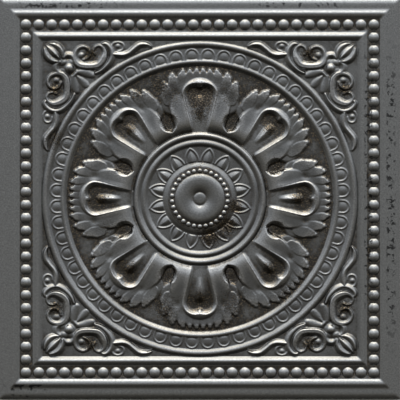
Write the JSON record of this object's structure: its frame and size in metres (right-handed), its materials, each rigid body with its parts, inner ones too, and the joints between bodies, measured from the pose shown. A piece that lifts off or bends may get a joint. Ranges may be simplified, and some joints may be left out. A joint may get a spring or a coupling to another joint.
{
  "type": "relief wall tile",
  "caption": "Square ceramic wall tile with a dark metallic glaze, a beaded border, a round rosette medallion in an egg moulding, and scroll ornaments in the corners.",
  "frame": {"origin": "middle of the flat back face", "axes": "+Z points out of the glazed face, +X and +Y run along the tile's sides"},
  "size_m": [0.2, 0.2, 0.0109],
  "materials": {
    "glaze": "dark pewter-like metallic glaze, worn"
  },
  "bodies": {
    "root": {"tile": "glaze"}
  },
  "joints": []
}
